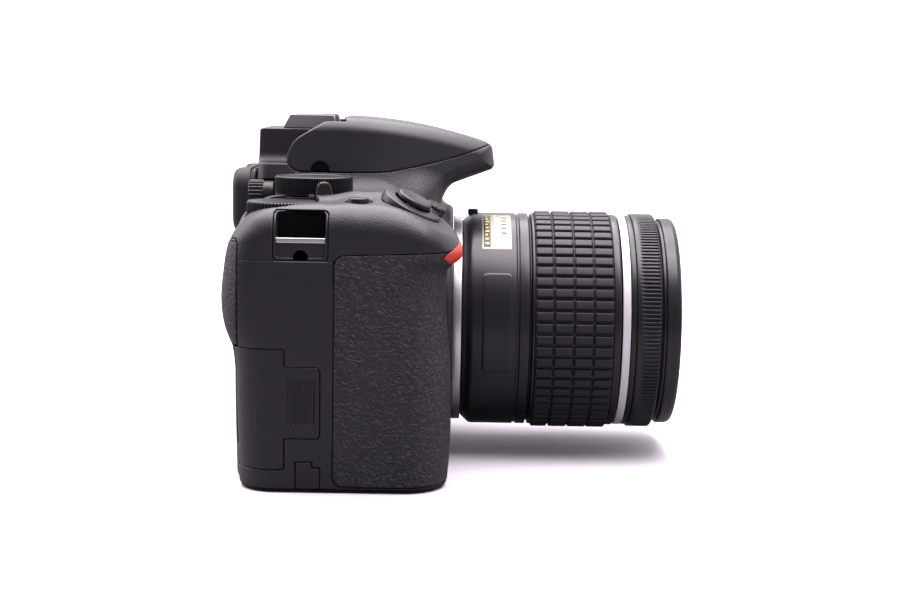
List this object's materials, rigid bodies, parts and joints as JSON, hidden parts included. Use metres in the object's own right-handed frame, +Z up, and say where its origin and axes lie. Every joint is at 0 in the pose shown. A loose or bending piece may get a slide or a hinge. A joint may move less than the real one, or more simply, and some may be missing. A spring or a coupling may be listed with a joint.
{
  "type": "dslr camera",
  "caption": "Compact single-lens reflex camera with retractable zoom lens, pop-up flash, swing-out monitor, dials, buttons, doors and flaps that move.",
  "frame": {"origin": "mouth of the tripod socket on the base plane, under the lens axis", "axes": "+Z up, lens points along -Y, hand grip on the -X side, monitor faces +Y"},
  "size_m": [0.1239, 0.129, 0.0979],
  "materials": {
    "shell_plastic": "fine sprayed texture",
    "dark_plastic": "satin",
    "rubber_skin": "leather grain",
    "soft_rubber": "smooth matt",
    "red_trim": "gloss",
    "bright_metal": "turned satin",
    "grey_metal": "painted satin",
    "steel": "brushed",
    "mirror_glass": "silvered",
    "lens_glass": "coated",
    "clear_window": "ribbed",
    "circuit": "solder mask",
    "screen_gloss": "polished"
  },
  "bodies": {
    "camera_body": {"front_cover": "shell_plastic", "rear_cover": "shell_plastic", "top_cover": "shell_plastic", "base_cover": "shell_plastic", "grip_rubber": "rubber_skin", "thumb_rubber": "rubber_skin", "grip_accent": "red_trim", "mount_ring": "bright_metal", "case_screws": "steel", "mirror_box": "dark_plastic", "pentaprism": "dark_plastic", "eyepiece_lens": "lens_glass", "sensor_unit": "circuit", "main_board": "circuit", "battery": "dark_plastic", "memory_card": "dark_plastic", "strap_lugs": "grey_metal", "hot_shoe": "grey_metal", "tripod_socket": "steel", "af_lamp": "clear_window", "hinge_pins": "steel", "card_hinge": "steel"},
    "mirror": {"reflex_mirror": "mirror_glass"},
    "curtain": {"shutter_curtain": "dark_plastic"},
    "diopter": {"diopter_wheel": "dark_plastic"},
    "eyecup_body": {"eyecup": "soft_rubber"},
    "flash": {"flash_head": "shell_plastic", "flash_window": "clear_window"},
    "release": {"shutter_button": "dark_plastic"},
    "power_collar": {"power_switch": "dark_plastic"},
    "mode": {"mode_dial": "dark_plastic"},
    "live_view": {"live_view_lever": "dark_plastic"},
    "command": {"command_dial": "dark_plastic"},
    "monitor": {"monitor_arm": "shell_plastic", "monitor_panel": "shell_plastic", "monitor_screen": "screen_gloss"},
    "card": {"card_door": "shell_plastic"},
    "battery_lid": {"battery_door": "shell_plastic"},
    "ports": {"port_cover": "soft_rubber"},
    "dc_flap": {"power_flap": "soft_rubber"},
    "lens": {"lens_barrel": "dark_plastic"},
    "zoom": {"zoom_ring": "dark_plastic", "zoom_rubber": "soft_rubber"},
    "extension": {"inner_barrel": "dark_plastic", "filter_ring": "dark_plastic", "front_lens": "lens_glass"},
    "focus": {"focus_ring": "dark_plastic"},
    "retract": {"retract_button": "dark_plastic"},
    "selector": {"selector_pad": "dark_plastic"},
    "ok": {"ok_button": "dark_plastic"},
    "record_button_body": {"record_button": "dark_plastic"},
    "exposure_button_body": {"exposure_button": "dark_plastic"},
    "menu_button_body": {"menu_button": "dark_plastic"},
    "play_button_body": {"play_button": "dark_plastic"},
    "zoom_in_button_body": {"zoom_in_button": "dark_plastic"},
    "zoom_out_button_body": {"zoom_out_button": "dark_plastic"},
    "delete_button_body": {"delete_button": "dark_plastic"},
    "fn_button_body": {"fn_button": "dark_plastic"},
    "flash_button_body": {"flash_button": "dark_plastic"},
    "lens_release_body": {"lens_release": "dark_plastic"}
  },
  "joints": [
    {"name": "mirror_flip", "type": "hinge", "parent": "camera_body", "child": "mirror", "pos_m": [0, 0.007, 0.0526], "axis": [-1, 0, 0], "range_deg": [0, 45]},
    {"name": "curtain_drop", "type": "slide", "parent": "camera_body", "child": "curtain", "axis": [0, 0, -1], "range_m": [0, 0.0162]},
    {"name": "diopter_turn", "type": "hinge", "parent": "camera_body", "child": "diopter", "pos_m": [-0.0216, 0.026, 0.0755], "axis": [0, 1, 0], "range_deg": [-120, 120]},
    {"name": "eyecup_slide", "type": "slide", "parent": "camera_body", "child": "eyecup_body", "axis": [0, 0, 1], "range_m": [0, 0.016]},
    {"name": "flash_pop", "type": "hinge", "parent": "camera_body", "child": "flash", "pos_m": [0, 0.0147, 0.0871], "axis": [-1, 0, 0], "range_deg": [0, 50]},
    {"name": "release_press", "type": "slide", "parent": "camera_body", "child": "release", "axis": [0.1547, 0.454, -0.8775], "range_m": [0, 0.001], "stiffness_N_per_m": 400},
    {"name": "power_turn", "type": "hinge", "parent": "camera_body", "child": "power_collar", "pos_m": [-0.052, -0.0171, 0.07485], "axis": [-0.1547, -0.454, 0.8775], "range_deg": [0, 32]},
    {"name": "mode_turn", "type": "hinge", "parent": "camera_body", "child": "mode", "pos_m": [-0.033, 0.0103, 0.08], "axis": [0, 0, 1], "continuous": true},
    {"name": "live_view_turn", "type": "hinge", "parent": "camera_body", "child": "live_view", "pos_m": [-0.033, 0.0103, 0.078], "axis": [0, 0, 1], "range_deg": [0, 14], "stiffness_Nm_per_rad": 0.02},
    {"name": "command_turn", "type": "hinge", "parent": "camera_body", "child": "command", "pos_m": [-0.052, 0.0173, 0.074], "axis": [0, 0, 1], "continuous": true},
    {"name": "record_button_press", "type": "slide", "parent": "camera_body", "child": "record_button_body", "axis": [0, 0, -1], "range_m": [0, 0.0006], "stiffness_N_per_m": 400},
    {"name": "exposure_button_press", "type": "slide", "parent": "camera_body", "child": "exposure_button_body", "axis": [0, 0, -1], "range_m": [0, 0.0006], "stiffness_N_per_m": 400},
    {"name": "menu_button_press", "type": "slide", "parent": "camera_body", "child": "menu_button_body", "axis": [0, -1, 0], "range_m": [0, 0.0006], "stiffness_N_per_m": 400},
    {"name": "play_button_press", "type": "slide", "parent": "camera_body", "child": "play_button_body", "axis": [0, -1, 0], "range_m": [0, 0.0006], "stiffness_N_per_m": 400},
    {"name": "zoom_in_button_press", "type": "slide", "parent": "camera_body", "child": "zoom_in_button_body", "axis": [0, -1, 0], "range_m": [0, 0.0006], "stiffness_N_per_m": 400},
    {"name": "zoom_out_button_press", "type": "slide", "parent": "camera_body", "child": "zoom_out_button_body", "axis": [0, -1, 0], "range_m": [0, 0.0006], "stiffness_N_per_m": 400},
    {"name": "delete_button_press", "type": "slide", "parent": "camera_body", "child": "delete_button_body", "axis": [0, -1, 0], "range_m": [0, 0.0006], "stiffness_N_per_m": 400},
    {"name": "fn_button_press", "type": "slide", "parent": "camera_body", "child": "fn_button_body", "axis": [0, 1, 0], "range_m": [0, 0.0007], "stiffness_N_per_m": 400},
    {"name": "flash_button_press", "type": "slide", "parent": "camera_body", "child": "flash_button_body", "axis": [0, 1, 0], "range_m": [0, 0.0007], "stiffness_N_per_m": 400},
    {"name": "lens_release_press", "type": "slide", "parent": "camera_body", "child": "lens_release_body", "axis": [0, 1, 0], "range_m": [0, 0.002], "stiffness_N_per_m": 400},
    {"name": "selector_tilt", "type": "hinge", "parent": "camera_body", "child": "selector", "pos_m": [-0.0395, 0.0295, 0.0445], "axis": [1, 0, 0], "range_deg": [-2, 2], "stiffness_Nm_per_rad": 0.05},
    {"name": "ok_press", "type": "slide", "parent": "camera_body", "child": "ok", "axis": [0, -1, 0], "range_m": [0, 0.0005], "stiffness_N_per_m": 400},
    {"name": "monitor_swing", "type": "hinge", "parent": "camera_body", "child": "monitor", "pos_m": [0.0505, 0.026, 0.03], "axis": [0, 0, -1], "range_deg": [0, 180]},
    {"name": "card_door_swing", "type": "hinge", "parent": "camera_body", "child": "card", "pos_m": [-0.05957, 0.02607, 0.022], "axis": [0, 0, -1], "range_deg": [0, 85]},
    {"name": "battery_door_swing", "type": "hinge", "parent": "camera_body", "child": "battery_lid", "pos_m": [-0.053, 0.0158, 0.0015], "axis": [1, 0, 0], "range_deg": [0, 90]},
    {"name": "port_cover_swing", "type": "hinge", "parent": "camera_body", "child": "ports", "pos_m": [0.0549, 0.0084, 0.032], "axis": [0, 0, 1], "range_deg": [0, 85]},
    {"name": "dc_flap_swing", "type": "hinge", "parent": "camera_body", "child": "dc_flap", "pos_m": [-0.0667, 0.009, 0.0034], "axis": [0, -1, 0], "range_deg": [0, 60]},
    {"name": "lens_twist", "type": "hinge", "parent": "camera_body", "child": "lens", "pos_m": [0, -0.04, 0.038], "axis": [0, 1, 0], "range_deg": [0, 60]},
    {"name": "zoom_turn", "type": "hinge", "parent": "lens", "child": "zoom", "pos_m": [0, -0.063, 0.038], "axis": [0, 1, 0], "range_deg": [0, 80]},
    {"name": "lens_extend", "type": "slide", "parent": "lens", "child": "extension", "axis": [0, -1, 0], "range_m": [0, 0.0225]},
    {"name": "focus_turn", "type": "hinge", "parent": "extension", "child": "focus", "pos_m": [0, -0.085, 0.038], "axis": [0, 1, 0], "continuous": true},
    {"name": "retract_press", "type": "slide", "parent": "lens", "child": "retract", "axis": [-1, 0, 0], "range_m": [0, 0.0006], "stiffness_N_per_m": 400}
  ],
  "couplings": [
    {"joint": "lens_extend", "follows": "zoom_turn", "m_per_rad": 0.0161}
  ]
}
